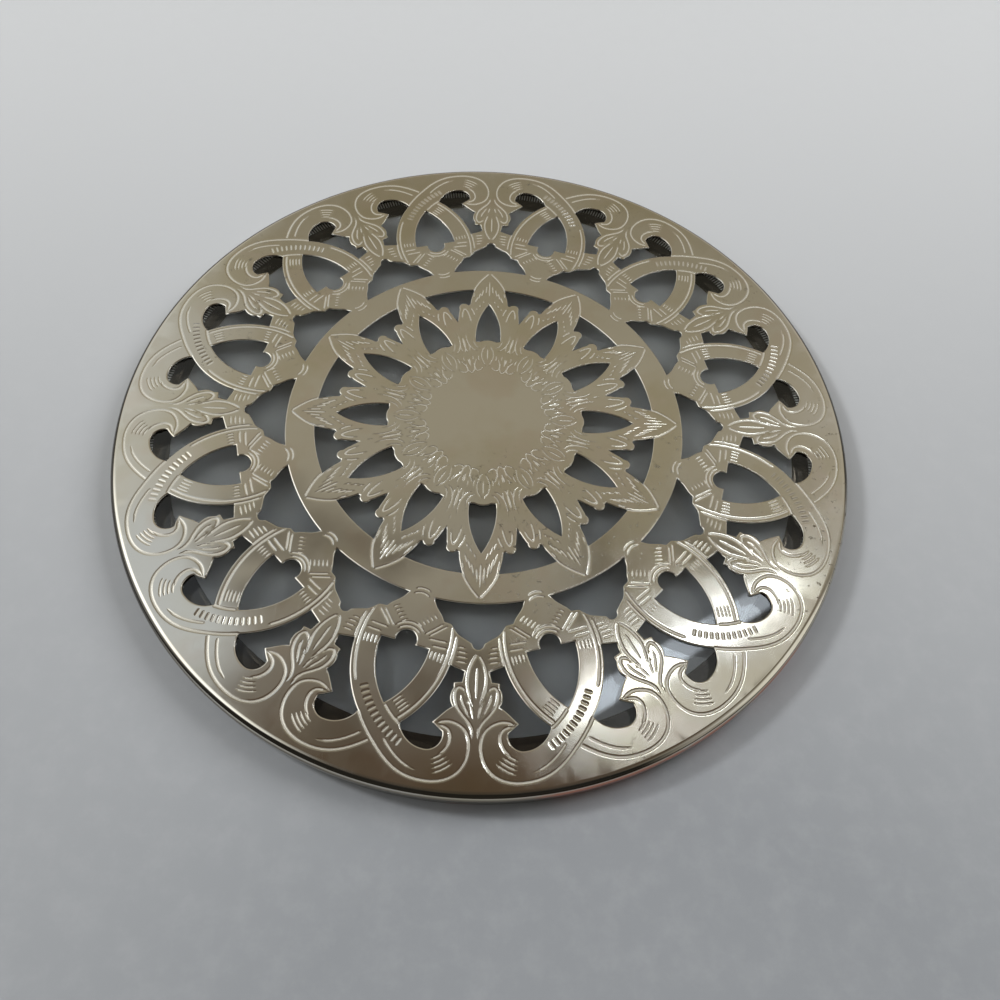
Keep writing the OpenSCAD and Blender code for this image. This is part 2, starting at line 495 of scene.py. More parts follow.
@dataclass
class Relief:
    """Height of the worked surface over the flat plate: grooves and the soft edges of the piercings (mm)."""

    grooves: list[Groove]
    loops: list[np.ndarray]
    roll_width: float = 0.28
    roll_depth: float = 0.11
    sharpest: float = 0.02
    flat_edge: float = 0.1
    touch: float = 0.002
    batch: int = 400

    def _nearest(
        self, points: np.ndarray, a: np.ndarray, b: np.ndarray
    ) -> tuple[np.ndarray, np.ndarray, np.ndarray]:
        """Distances from points to short chords.

        Args:
            points: Rows of x and y.
            a: First ends of the chords.
            b: Last ends of the chords.

        Returns:
            For every point and chord, the vector from the chord, its length and the share along the chord.
        """
        chord = b - a
        along = ((points[:, None] - a) * chord).sum(2) / np.maximum((chord**2).sum(1), TINY**2)
        along = np.clip(along, 0, 1)
        off = points[:, None] - a - along[..., None] * chord
        return off, np.sqrt((off**2).sum(2)), along

    def _groove_part(self, points: np.ndarray) -> tuple[np.ndarray, np.ndarray, np.ndarray]:
        """Work out the grooves.

        Args:
            points: Rows of x and y.

        Returns:
            Depth and slope of the deepest groove under each point, and the mark that its tool leaves there.
        """
        a = np.vstack([g.path[:-1] for g in self.grooves])
        b = np.vstack([g.path[1:] for g in self.grooves])
        wide_a = np.concatenate([g.half_widths()[:-1] for g in self.grooves])
        wide_b = np.concatenate([g.half_widths()[1:] for g in self.grooves])
        chords = [len(g.path) - 1 for g in self.grooves]
        full = np.repeat([g.tool.half_width for g in self.grooves], chords)
        deep = np.repeat([g.tool.depth for g in self.grooves], chords)
        matt = np.repeat([g.tool.matt for g in self.grooves], chords)
        off, dist, along = self._nearest(points, a, b)
        wide = np.maximum(wide_a + (wide_b - wide_a) * along, self.sharpest)
        share = deep * wide / full
        wide *= 1 - self.flat_edge
        phase = np.pi * np.minimum(dist / wide, 1)
        first = np.cumsum([0] + chords[:-1])
        closest = np.repeat(np.minimum.reduceat(dist, first, axis=1), chords, axis=1)
        depth = np.where(dist < closest + TINY, share * (1 + np.cos(phase)) / 2, 0)
        pick = (np.arange(len(points)), depth.argmax(1))
        steep = share[pick] * np.pi / (2 * wide[pick]) * np.sin(phase[pick])
        slope = off[pick] / np.maximum(dist[pick], TINY)[:, None] * steep[:, None]
        return depth[pick], slope, depth[pick] / deep[pick[1]] * matt[pick[1]]

    def _edge_part(self, points: np.ndarray) -> tuple[np.ndarray, np.ndarray]:
        """Work out the rolled edges of the piercings.

        Args:
            points: Rows of x and y.

        Returns:
            Depth and slope of the nearest edge under each point.
        """
        a = np.vstack(self.loops)
        b = np.vstack([np.roll(loop, -1, axis=0) for loop in self.loops])
        outward = np.stack([(b - a)[:, 1], -(b - a)[:, 0]], axis=1)
        outward /= np.linalg.norm(outward, axis=1, keepdims=True)
        off, dist, _ = self._nearest(points, a, b)
        pick = (np.arange(len(points)), dist.argmin(1))
        on_edge = dist < self.touch
        mean = (on_edge[..., None] * outward).sum(1)
        away = np.where(on_edge.any(1)[:, None], mean, off[pick])
        away /= np.maximum(np.linalg.norm(away, axis=1, keepdims=True), TINY)
        short = np.clip(1 - dist[pick] / self.roll_width, 0, 1)
        steep = 2 * self.roll_depth / self.roll_width * short
        return self.roll_depth * short**2, away * steep[:, None]

    def at(self, points: np.ndarray) -> tuple[np.ndarray, np.ndarray, np.ndarray]:
        """Work out the surface at flat points.

        Args:
            points: Rows of x and y in mm.

        Returns:
            The height over the plate in mm, the normals, and the mark of the tool: 1 in the middle of a line.
        """
        heights, normals, marks = [], [], []
        for part in np.array_split(points, max(1, len(points) // self.batch)):
            depth, slope, mark = self._groove_part(part)
            edge, edge_slope = self._edge_part(part)
            heights.append(-depth - edge)
            total = slope + edge_slope
            normals.append(np.column_stack([-total, np.ones(len(part))]))
            marks.append(mark)
        normal = np.vstack(normals)
        normal /= np.linalg.norm(normal, axis=1, keepdims=True)
        return np.concatenate(heights), normal, np.concatenate(marks)


def read_all(
    items: bpy.types.bpy_prop_collection, name: str, width: int = 1, kind: type = float
) -> np.ndarray:
    """Read one value of every item of a mesh.

    Args:
        items: Points, corners or faces of the mesh, or the data of an attribute.
        name: Name of the value.
        width: How many numbers the value has.
        kind: Kind of number.

    Returns:
        A row for each item, or one flat row if the value is a single number.
    """
    values = np.empty(len(items) * width, kind)
    items.foreach_get(name, values)
    return values.reshape(-1, width) if width > 1 else values


def inside_loop(points: np.ndarray, loop: np.ndarray) -> np.ndarray:
    """Tell which points lie inside a closed loop.

    Args:
        points: Rows of x and y.
        loop: Corners of the loop in order.

    Returns:
        True for each point inside.
    """
    x, y = points.T
    hit = np.zeros(len(points), bool)
    for (x0, y0), (x1, y1) in zip(loop, np.roll(loop, -1, axis=0)):
        if y0 != y1:
            hit ^= ((y0 > y) != (y1 > y)) & (x < (x1 - x0) * (y - y0) / (y1 - y0) + x0)
    return hit


@dataclass
class Fret:
    """The piercings of the plate, taken from the CAD sheet so that both have the same windows (mm).

    An outline has a sharp corner where it turns by more than the corner angle or its two chords are uneven.
    """

    node: bpy.types.Object
    corner: float = math.radians(38)
    uneven: float = 3.5
    facing_up: float = 0.99
    side_gap: float = 1e-3

    def top_loops(self) -> list[np.ndarray]:
        """Follow the outlines of the piercings on the flat top.

        Returns:
            The closed outlines, without the plate's own edge.
        """
        bm = bmesh.new()
        bm.from_mesh(self.node.data)
        bmesh.ops.remove_doubles(bm, verts=bm.verts, dist=LEVEL)
        top = max(v.co.z for v in bm.verts) - LEVEL
        faces = [f for f in bm.faces if f.normal.z > self.facing_up and min(v.co.z for v in f.verts) > top]
        flat = set(faces)
        after: dict[int, int] = {}
        place: dict[int, Point] = {}
        for face in faces:
            for loop in face.loops:
                if not any(f in flat for f in loop.edge.link_faces if f is not face):
                    a, b = loop.vert, loop.link_loop_next.vert
                    after[a.index] = b.index
                    place[a.index] = (a.co.x / MM, a.co.y / MM)
        bm.free()
        loops = []
        while after:
            first, following = after.popitem()
            chain = [first]
            while following != first:
                chain.append(following)
                following = after.pop(following)
            loops.append(np.array([place[i] for i in chain]))
        return sorted(loops, key=lambda q: -np.hypot(*q.T).max())[1:]

    def rounded(self, loop: np.ndarray) -> np.ndarray:
        """Swing smooth curves between the real corners of an outline, which the CAD model gives as chords.

        Args:
            loop: Corners of a closed outline in order.

        Returns:
            A finer outline, anticlockwise.
        """
        step = np.roll(loop, -1, axis=0) - loop
        length = np.linalg.norm(step, axis=1)
        heading = np.arctan2(step[:, 1], step[:, 0])
        turn = np.abs((heading - np.roll(heading, 1) + np.pi) % (2 * np.pi) - np.pi)
        ratio = np.maximum(length / np.roll(length, 1), np.roll(length, 1) / length)
        sharp = np.flatnonzero((turn > self.corner) | (ratio > self.uneven))
        if len(sharp) == 0:
            sharp = np.array([0])
        pieces = []
        for start, end in zip(sharp, np.append(sharp[1:], sharp[0] + len(loop))):
            chain = loop[np.arange(start, end + 1) % len(loop)]
            pieces.append(thinned(smooth_through(chain, 0.04), tolerance=0.008, longest=1.3)[:-1])
        fine = np.vstack(pieces)
        x, y = fine.T
        area = (x * np.roll(y, -1) - np.roll(x, -1) * y).sum()
        return fine if area > 0 else fine[::-1]

    def in_sector(self, middle: float) -> list[np.ndarray]:
        """Outlines that reach into one sector of the plate.

        Args:
            middle: Angle in radians from +Y to the middle of the sector.

        Returns:
            The outlines, turned so that the middle of the sector lies along +Y.
        """
        near = []
        for loop in self.top_loops():
            placed = turned(loop, -middle)
            if (from_middle(placed) < PITCH / 2 - self.side_gap).any():
                near.append(self.rounded(placed))
        return near


@dataclass
class Sector:
    """One twelfth of the plate's top, from the middle of a palmette to that of the next (mm).

    Points within the merge distance become one, points within the snap distance of a side are set on it, and
    triangles as small as a sliver are left out.
    """

    loops: list[np.ndarray]
    relief: Relief
    flat_r: float
    arc_steps: int = 30
    edge_shares: Pair = (0.4, 1)
    blunt: float = 0.6
    merge: float = 2e-3
    snap: float = 3e-3
    on_side: float = 4e-3
    sliver: float = 1e-5

    def _outline(self) -> np.ndarray:
        """Draw the two straight sides and the outer arc.

        Returns:
            The corners in order, from the middle of the plate.
        """
        angles = np.linspace(-PITCH / 2, PITCH / 2, self.arc_steps + 1)
        rim = np.column_stack([np.sin(angles), np.cos(angles)]) * self.flat_r
        return np.vstack([[0, 0], rim])

    def _edge_rows(self, loop: np.ndarray) -> list[np.ndarray]:
        """Lay the lines that the mesh needs to show a soft edge.

        Args:
            loop: Outline of a piercing.

        Returns:
            Outlines a little outside it.
        """
        before = loop - np.roll(loop, 1, axis=0)
        after = np.roll(loop, -1, axis=0) - loop
        normal = sum(
            np.column_stack([side[:, 1], -side[:, 0]]) / np.linalg.norm(side, axis=1)[:, None]
            for side in (before, after)
        )
        size = np.linalg.norm(normal, axis=1)[:, None]
        mitre = normal / np.maximum(size, self.blunt) ** 2 * 2
        return [loop + mitre * self.relief.roll_width * share for share in self.edge_shares]

    def triangulated(self) -> tuple[np.ndarray, np.ndarray]:
        """Triangulate the sector with every groove and soft edge as lines in the mesh.

        Returns:
            Rows of x and y in mm, and rows of three indices.
        """
        chains = [(self._outline(), True)]
        for loop in self.loops:
            chains.append((loop, True))
            chains += [(row, True) for row in self._edge_rows(loop)]
        for groove in self.relief.grooves:
            chains += [(row, False) for row in groove.rows()]
        points: list[Vector] = []
        edges: list[tuple[int, int]] = []
        for chain, closed in chains:
            first = len(points)
            points += [Vector(p) for p in chain]
            edges += [(first + i, first + i + 1) for i in range(len(chain) - 1)]
            if closed:
                edges.append((len(points) - 1, first))
        return self._cut(points, edges)

    def _cut(self, points: list[Vector], edges: list[tuple[int, int]]) -> tuple[np.ndarray, np.ndarray]:
        """Triangulate points and lines, and cut the piercings out.

        Args:
            points: Flat points in mm.
            edges: Pairs of points that are joined by a line.

        Returns:
            Rows of x and y, and rows of three indices.
        """
        found, _, faces, *_ = geometry.delaunay_2d_cdt(points, edges, [], 0, self.merge)
        flat = self._snapped(np.array([tuple(p) for p in found]))
        triangles = np.array([tuple(f) for f in faces])
        a, b, c = (flat[triangles[:, i]] for i in range(3))
        middle = (a + b + c) / 3
        keep = inside_loop(middle, self._outline())
        keep &= np.abs((b - a)[:, 0] * (c - a)[:, 1] - (b - a)[:, 1] * (c - a)[:, 0]) > self.sliver
        for loop in self.loops:
            keep &= ~inside_loop(middle, loop)
        used, kept = np.unique(triangles[keep], return_inverse=True)
        return flat[used], kept.reshape(-1, 3)

    def underside(self, flat: np.ndarray, triangles: np.ndarray) -> tuple[np.ndarray, np.ndarray]:
        """Triangulate the plain underside between the same outlines.

        Args:
            flat: Rows of x and y of the worked top.
            triangles: Rows of three indices of the worked top.

        Returns:
            Rows of x and y in mm, and rows of three indices, facing up as the top does.
        """
        sides = np.vstack([triangles[:, pair] for pair in ([0, 1], [1, 2], [2, 0])])
        pairs, count = np.unique(np.sort(sides, axis=1), axis=0, return_counts=True)
        border = pairs[count == 1]
        on_ray = off_side(flat) < self.on_side
        cut = border[~on_ray[border].all(1)]
        keep, edges = np.unique(cut, return_inverse=True)
        points = [Vector(p) for p in flat[keep]] + [Vector((0, 0))]
        lines = [tuple(e) for e in edges.reshape(-1, 2)]
        for sign in (-1, 1):
            row = [i for i, k in enumerate(keep) if on_ray[k] and flat[k, 0] * sign > 0]
            row = [len(points) - 1] + sorted(row, key=lambda i: points[i].length)
            lines += list(zip(row[:-1], row[1:]))
        return self._cut(points, lines)

    def _snapped(self, flat: np.ndarray) -> np.ndarray:
        """Set points exactly on the two straight sides where they nearly are.

        Args:
            flat: Rows of x and y, which are changed.

        Returns:
            The same rows.
        """
        for sign in (-1, 1):
            side = np.array([math.sin(sign * PITCH / 2), math.cos(PITCH / 2)])
            off = flat @ np.array([side[1], -side[0]])
            near = np.abs(off) < self.snap
            flat[near] = (flat[near] @ side)[:, None] * side
        return flat


@dataclass
class PiercedSheet:
    """The plated sheet: chased and pierced top, rounded rim, and the lip turned under the glass (mm)."""

    node: bpy.types.Object
    rim_r: float
    height: float
    sheet_t: float = 0.5
    shoulder_r: float = 1.9
    turn_r: float = 1.2
    lip_w: float = 12.6
    ring_line_r: float = 78
    ring_line_w: float = 0.35
    ring_line_curve: float = 1.12
    ring_line_angles: Pair = (-117, -63)
    rim_steps: int = 360
    reach: float = 0.06
    crease: float = math.radians(30)
    facing_up: float = 0.55
    facing_down: float = -0.99
    wall_part: float = 0.2
    touch: float = 0.01

    @property
    def flat_r(self) -> float:
        """Radius in mm where the flat top runs into the shoulder."""
        return self.rim_r - self.shoulder_r

    @property
    def under_z(self) -> float:
        """Height in mm of the underside of the flat top."""
        return self.height - self.sheet_t

    def build(self) -> bpy.types.Object:
        """Model the whole sheet as one closed mesh.

        Returns:
            The finished piece.
        """
        piece = self._chased_top()
        self._sink_piercings(piece)
        self._join_rim(piece)
        self._check_closed(piece)
        self._set_normals(piece)
        return piece

    def _chased_top(self) -> bpy.types.Object:
        """Chase one sector and lay it round the plate, every second one mirrored.

        Returns:
            The top and the plain underside, still open at their edges.
        """
        middle = PITCH / 2
        loops = Fret(self.node).in_sector(middle)
        grooves = []
        for stroke in Palmette().strokes() + Petal().strokes():
            grooves += stroke.placed(middle) + stroke.placed(-middle)
        for stroke in Knot().strokes() + Petal().valley_strokes():
            grooves += stroke.placed(0)
        relief = Relief([g for g in grooves if self._reaches(g)], loops)
        sector = Sector(loops, relief, self.flat_r)
        flat, triangles = sector.triangulated()
        rise, normal, mark = relief.at(flat)
        plain, under = sector.underside(flat, triangles)
        verts, faces, normals, marks = [], [], [], []
        for k in range(REPEATS):
            sign = -1 if k % 2 else 1
            angle = middle + k * PITCH
            first = sum(len(v) for v in verts)
            place = turned(flat * (sign, 1), angle)
            lean = turned(normal[:, :2] * (sign, 1), angle)
            below = turned(plain * (sign, 1), angle)
            verts.append(np.column_stack([place, self.height + rise]))
            verts.append(np.column_stack([below, np.full(len(plain), self.under_z)]))
            faces.append(triangles[:, ::sign] + first)
            faces.append(under[:, ::-sign] + first + len(flat))
            normals += [np.column_stack([lean, normal[:, 2]]), np.tile((0.0, 0.0, -1.0), (len(plain), 1))]
            marks += [mark, np.zeros(len(plain))]
        mesh = bpy.data.meshes.new("chased_plate")
        mesh.from_pydata(np.vstack(verts) * MM, [], np.vstack(faces))
        worked = mesh.attributes.new("worked_normal", "FLOAT_VECTOR", "POINT")
        worked.data.foreach_set("vector", np.vstack(normals).ravel())
        chased = mesh.attributes.new("chased", "FLOAT", "POINT")
        chased.data.foreach_set("value", np.concatenate(marks))
        piece = bpy.data.objects.new("chased_plate", mesh)
        bpy.context.scene.collection.objects.link(piece)
        log.info("chased top: %d points and %d triangles in a sector", len(flat), len(triangles))
        return piece

    def _reaches(self, groove: Groove) -> bool:
        """Whether any of a groove lies in the sector or close beside it."""
        return bool((from_middle(groove.path) < PITCH / 2 + self.reach).any())

    def _edit(self, piece: bpy.types.Object) -> None:
        """Open a piece for editing with all of its edges selected.

        Args:
            piece: The only object to be edited.
        """
        bpy.ops.object.select_all(action="DESELECT")
        piece.select_set(True)
        bpy.context.view_layer.objects.active = piece
        bpy.ops.object.mode_set(mode="EDIT")
        bpy.ops.mesh.select_mode(type="EDGE")
        bpy.ops.mesh.select_all(action="SELECT")

    def _sink_piercings(self, piece: bpy.types.Object) -> None:
        """Weld the sectors and draw the edges of the piercings down to the underside.

        Args:
            piece: The chased top.
        """
        self._edit(piece)
        bpy.ops.mesh.remove_doubles(threshold=WELD)
        bpy.ops.mesh.select_all(action="DESELECT")
        bm = bmesh.from_edit_mesh(piece.data)
        # The plate's own edge stays open for the rim
        limit = (self.flat_r - self.sheet_t) * MM
        for edge in bm.edges:
            inner = max(v.co.xy.length for v in edge.verts) < limit
            edge.select_set(edge.is_boundary and inner and edge.link_faces[0].normal.z > 0)
        bmesh.update_edit_mesh(piece.data)
        bpy.ops.mesh.extrude_edges_move(TRANSFORM_OT_translate={"value": (0, 0, -self.sheet_t * MM)})
        bpy.ops.transform.resize(
            value=(1, 1, 0), center_override=(0, 0, self.under_z * MM), constraint_axis=(False, False, True)
        )
        bpy.ops.object.mode_set(mode="OBJECT")

    def rim_section(self) -> tuple[np.ndarray, np.ndarray]:
        """Half section of the rim from the flat top, over the shoulder, round the lip and back inside.

        Returns:
            Rows of radius and height in mm, and the normals there.
        """
        t = self.sheet_t
        shoulder = (self.flat_r, self.height - self.shoulder_r)
        turn = (self.rim_r - self.turn_r, self.turn_r)
        lip_edge = (self.rim_r - self.lip_w + t / 2, t / 2)
        ring_line = (self.ring_line_r, t + self.ring_line_w)
        # Centre and radius of each curve, its first and last angle, its steps, and 1 or -1 for out or in
        curves = [
            (shoulder, self.shoulder_r, (90, 0), 10, 1),
            (turn, self.turn_r, (0, -90), 8, 1),
            (lip_edge, t / 2, (-90, -270), 6, 1),
            (ring_line, self.ring_line_w * self.ring_line_curve, self.ring_line_angles, 3, -1),
            (turn, self.turn_r - t, (-90, 0), 3, -1),
            (shoulder, self.shoulder_r - t, (0, 90), 4, -1),
        ]
        points, normals = [], []
        for centre, radius, angles, steps, sign in curves:
            a = np.radians(np.linspace(*angles, steps + 1))
            ring = np.column_stack([np.cos(a), np.sin(a)])
            points.append(centre + ring * radius)
            normals.append(ring * sign)
        return np.vstack(points), np.vstack(normals)

    def _join_rim(self, piece: bpy.types.Object) -> None:
        """Spin the rim and weld it to the edge of the chased top.

        Args:
            piece: The chased top with its piercings.
        """
        section, _ = self.rim_section()
        mesh = bpy.data.meshes.new("rim")
        line = [(r * MM, 0, z * MM) for r, z in section]
        mesh.from_pydata(line, [(i, i + 1) for i in range(len(line) - 1)], [])
        rim = bpy.data.objects.new("rim", mesh)
        bpy.context.scene.collection.objects.link(rim)
        self._edit(rim)
        bpy.ops.mesh.spin(steps=self.rim_steps, angle=2 * math.pi, center=(0, 0, 0), axis=(0, 0, 1))
        bpy.ops.object.mode_set(mode="OBJECT")
        piece.select_set(True)
        bpy.context.view_layer.objects.active = piece
        bpy.ops.object.join()
        self._edit(piece)
        bpy.ops.mesh.remove_doubles(threshold=WELD)
        bpy.ops.object.mode_set(mode="OBJECT")

    def _check_closed(self, piece: bpy.types.Object) -> None:
        """Turn the faces outwards and report edges that are still open.

        Args:
            piece: The finished sheet.
        """
        self._edit(piece)
        bpy.ops.mesh.normals_make_consistent(inside=False)
        bm = bmesh.from_edit_mesh(piece.data)
        log.info("sheet: %d open edges, %d faces", sum(not e.is_manifold for e in bm.edges), len(bm.faces))
        bpy.ops.object.mode_set(mode="OBJECT")

    def _set_normals(self, piece: bpy.types.Object) -> None:
        """Shade the sheet: true normals on the chased top and the rim, and plain ones elsewhere.

        Args:
            piece: The closed sheet.
        """
        bpy.ops.object.shade_smooth_by_angle(angle=self.crease)
        mesh = piece.data
        place = read_all(mesh.vertices, "co", 3) / MM
        worked = read_all(mesh.attributes["worked_normal"].data, "vector", 3)
        corner = read_all(mesh.loops, "vertex_index", kind=int)
        face = np.repeat(np.arange(len(mesh.polygons)), read_all(mesh.polygons, "loop_total", kind=int))
        facing = read_all(mesh.polygons, "normal", 3)[face]
        centre = read_all(mesh.polygons, "center", 3)[face] / MM
        inner = np.hypot(centre[:, 0], centre[:, 1]) < self.flat_r
        up, level = facing[:, 2], centre[:, 2]
        top = inner & (up > self.facing_up) & (level > self.under_z + self.wall_part)
        under = inner & (up < self.facing_down) & (np.abs(level - self.under_z) < self.touch)
        lean, known = self._rim_normals(place)
        rim = ~top & ~under & known[corner]
        chosen = np.zeros((len(corner), 3))
        chosen[top] = worked[corner[top]]
        chosen[under] = (0, 0, -1)
        chosen[rim] = lean[corner[rim]]
        mesh.attributes.remove(mesh.attributes["worked_normal"])
        mesh.normals_split_custom_set(chosen)

    def _rim_normals(self, place: np.ndarray) -> tuple[np.ndarray, np.ndarray]:
        """Work out the normals of the points on the rim.

        Args:
            place: Rows of x, y and z of every point of the sheet in mm.

        Returns:
            A normal for each point, and whether the point lies on the rim's section.
        """
        section, lean = self.rim_section()
        radius = np.hypot(place[:, 0], place[:, 1])
        gap = np.hypot(radius[:, None] - section[:, 0], place[:, 2:] - section[:, 1])
        tilt = lean[gap.argmin(1)]
        turn = place[:, :2] / np.maximum(radius, TINY)[:, None]
        return np.column_stack([turn * tilt[:, :1], tilt[:, 1]]), gap.min(1) < self.touch

    def dress(self, piece: bpy.types.Object) -> None:
        """Give the sheet its finish and its place in the frame.

        Args:
            piece: The finished sheet.
        """
        piece.data.materials.append(SilverPlate().material())
        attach(piece, "root")
        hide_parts("pierced_top")


@dataclass
class GlassDisc:
    """The clear disc that the sheet is spun over (mm)."""

    radius: float
    low_z: float
    top_z: float
    lip_gap: float = 0.06
    top_round: float = 1.4
    top_steps: int = 8
    bottom_round: float = 0.7
    bottom_steps: int = 6
    steps: int = 240
    crease: float = math.radians(25)
    flat: float = 0.999

    @property
    def bottom_z(self) -> float:
        """Height in mm of the underside, a little clear of the sheet's lip."""
        return self.low_z + self.lip_gap

    def build(self) -> bpy.types.Object:
        """Draw a circle, pull it up to a disc and grind both of its edges round.

        Returns:
            The finished piece.
        """
        bpy.ops.object.select_all(action="DESELECT")
        bpy.ops.mesh.primitive_circle_add(
            vertices=self.steps,
            radius=self.radius * MM,
            fill_type="NGON",
            location=(0, 0, self.bottom_z * MM),
        )
        piece = bpy.context.active_object
        piece.name = piece.data.name = "clear_disc"
        bpy.ops.object.transform_apply(location=True, rotation=True, scale=True)
        bpy.ops.object.mode_set(mode="EDIT")
        bpy.ops.mesh.select_all(action="SELECT")
        thickness = self.top_z - self.bottom_z
        bpy.ops.mesh.extrude_region_move(TRANSFORM_OT_translate={"value": (0, 0, thickness * MM)})
        for level, width, segments in (
            (self.top_z, self.top_round, self.top_steps),
            (self.bottom_z, self.bottom_round, self.bottom_steps),
        ):
            bpy.ops.mesh.select_mode(type="EDGE")
            bpy.ops.mesh.select_all(action="DESELECT")
            bm = bmesh.from_edit_mesh(piece.data)
            for edge in bm.edges:
                edge.select_set(all(abs(v.co.z - level * MM) < LEVEL for v in edge.verts))
            bmesh.update_edit_mesh(piece.data)
            bpy.ops.mesh.bevel(offset=width * MM, segments=segments, profile=0.5, affect="EDGES")
        bpy.ops.mesh.select_all(action="SELECT")
        bpy.ops.mesh.normals_make_consistent(inside=False)
        bpy.ops.object.mode_set(mode="OBJECT")
        bpy.ops.object.shade_smooth_by_angle(angle=self.crease)
        for face in piece.data.polygons:
            face.use_smooth = face.use_smooth and abs(face.normal.z) < self.flat
        return piece

    def dress(self, piece: bpy.types.Object) -> None:
        """Give the glass its finish and its place in the frame.

        Args:
            piece: The finished disc.
        """
        piece.data.materials.append(ClearGlass().material())
        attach(piece, "root")
        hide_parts("glass_disc")


class Nodes:
    """The node tree of a material or of the room, with short ways to add and join nodes."""

    def __init__(self, owner: bpy.types.Material | bpy.types.World) -> None:
        """Start on the new tree of a material or world."""
        owner.use_nodes = True
        self.tree = owner.node_tree

    def join(self, value: object, socket: Socket) -> None:
        """Set an input, or join it to another node.

        Args:
            value: Value, or socket of the other node.
            socket: The input.
        """
        if isinstance(value, bpy.types.NodeSocket):
            self.tree.links.new(value, socket)
        else:
            socket.default_value = value

    def add(self, kind: str, settings: dict[str, object] | None = None, **inputs: object) -> bpy.types.Node:
        """Add a node.

        Args:
            kind: Blender's name for the kind of shader node.
            settings: Properties of the node itself.
            inputs: Values or sockets for its inputs, by name with _ for a space, or by order as i0, i1.

        Returns:
            The new node.
        """
        node = self.tree.nodes.new("ShaderNode" + kind)
        for key, value in (settings or {}).items():
            setattr(node, key, value)
        for key, value in inputs.items():
            by_order = key[1:].isdigit()
            self.join(value, node.inputs[int(key[1:]) if by_order else key.replace("_", " ")])
        return node

    def math(self, operation: str, first: object, *rest: object, clamp: bool = False) -> Socket:
        """Combine numbers, two at a time from the first.

        Args:
            operation: Blender's name for the operation.
            first: First number or socket.
            rest: The other numbers or sockets; none for an operation on one number.
            clamp: Whether the result stays between 0 and 1.

        Returns:
            The socket with the result.
        """
        result = first
        for value in rest or (0.0,):
            settings = {"operation": operation, "use_clamp": clamp}
            result = self.add("Math", settings, i0=result, i1=value).outputs[0]
        return result

    def product(self, *shares: object) -> Socket:
        """Multiply shares with one another."""
        return self.math("MULTIPLY", *shares)

    def vector(self, operation: str, a: Socket, b: Place = (0.0, 0.0, 0.0), result: str = "Value") -> Socket:
        """Work on a place by Blender's name for an operation, with a second place where it takes one."""
        return self.add("VectorMath", {"operation": operation}, i0=a, i1=b).outputs[result]

    def noise(self, where: Socket, scale: float, detail: float = 3, rough: float = 0.55) -> Socket:
        """Soft noise about 0.5, by clouds to a metre, octaves and the share of each finer octave."""
        node = self.add("TexNoise", None, Vector=where, Scale=scale, Detail=detail, Roughness=rough)
        return node.outputs["Fac"]

    def between(
        self, value: Socket, low: float, high: float, to_low: float = 0.0, to_high: float = 1.0
    ) -> Socket:
        """Stretch a range of values, with soft ends.

        Args:
            value: Socket to stretch.
            low: Value that becomes to_low.
            high: Value that becomes to_high.
            to_low: Result at low and beyond it.
            to_high: Result at high and beyond it.

        Returns:
            The socket with the result.
        """
        node = self.add(
            "MapRange", {"interpolation_type": "SMOOTHSTEP"},
            Value=value, From_Min=low, From_Max=high, To_Min=to_low, To_Max=to_high,
        )
        return node.outputs["Result"]

    def blend(self, share: object, a: object, b: object) -> Socket:
        """Mix two colours.

        Args:
            share: How much of the second colour there is.
            a: First colour or socket.
            b: Second colour or socket.

        Returns:
            The socket with the colour.
        """
        node = self.add("Mix", {"data_type": "RGBA"})
        # The node has sockets for every kind of data; these are its factor and its colours
        for place, value in ((0, share), (6, a), (7, b)):
            self.join((*value, 1) if isinstance(value, tuple) else value, node.inputs[place])
        return node.outputs[2]

    def into(self, name: str, value: object) -> None:
        """Set an input of a material's Principled surface, or join it to another node."""
        self.join(value, self.tree.nodes["Principled BSDF"].inputs[name])


class PlateNodes(Nodes):
    """The nodes of the plate's finish, with sockets that say where on the plate a point lies (metres)."""

    def __init__(self, owner: bpy.types.Material) -> None:
        """Start on a new tree.

        Args:
            owner: The material that the nodes belong to.
        """
        super().__init__(owner)
        self.where = self.add("TexCoord").outputs["Object"]
        self.across, self.along, self.level = self.add("SeparateXYZ", None, Vector=self.where).outputs
        self.radius = self.vector("LENGTH", self.vector("MULTIPLY", self.where, (1, 1, 0), "Vector"))

    def above(self, value: Socket, limit: float) -> Socket:
        """1 where a value is greater than a limit, and 0 elsewhere."""
        return self.math("GREATER_THAN", value, limit)

    def below(self, value: Socket, limit: float) -> Socket:
        """1 where a value is less than a limit, and 0 elsewhere."""
        return self.math("LESS_THAN", value, limit)

    def toward(self, way: Place) -> Socket:
        """Distance from the middle of the plate along a direction."""
        return self.vector("DOT_PRODUCT", self.where, way)


@dataclass(frozen=True)
class Cloud:
    """Cloudy noise in a finish: clouds to a metre, octaves, the ramp over it and the share of finer noise."""

    scale: float
    detail: float
    ramp: Ramp
    rough: float = 0.55

    def share(self, n: Nodes, where: Socket) -> Socket:
        """The noise at a place, stretched by its ramp."""
        return n.between(n.noise(where, self.scale, self.detail, self.rough), *self.ramp)


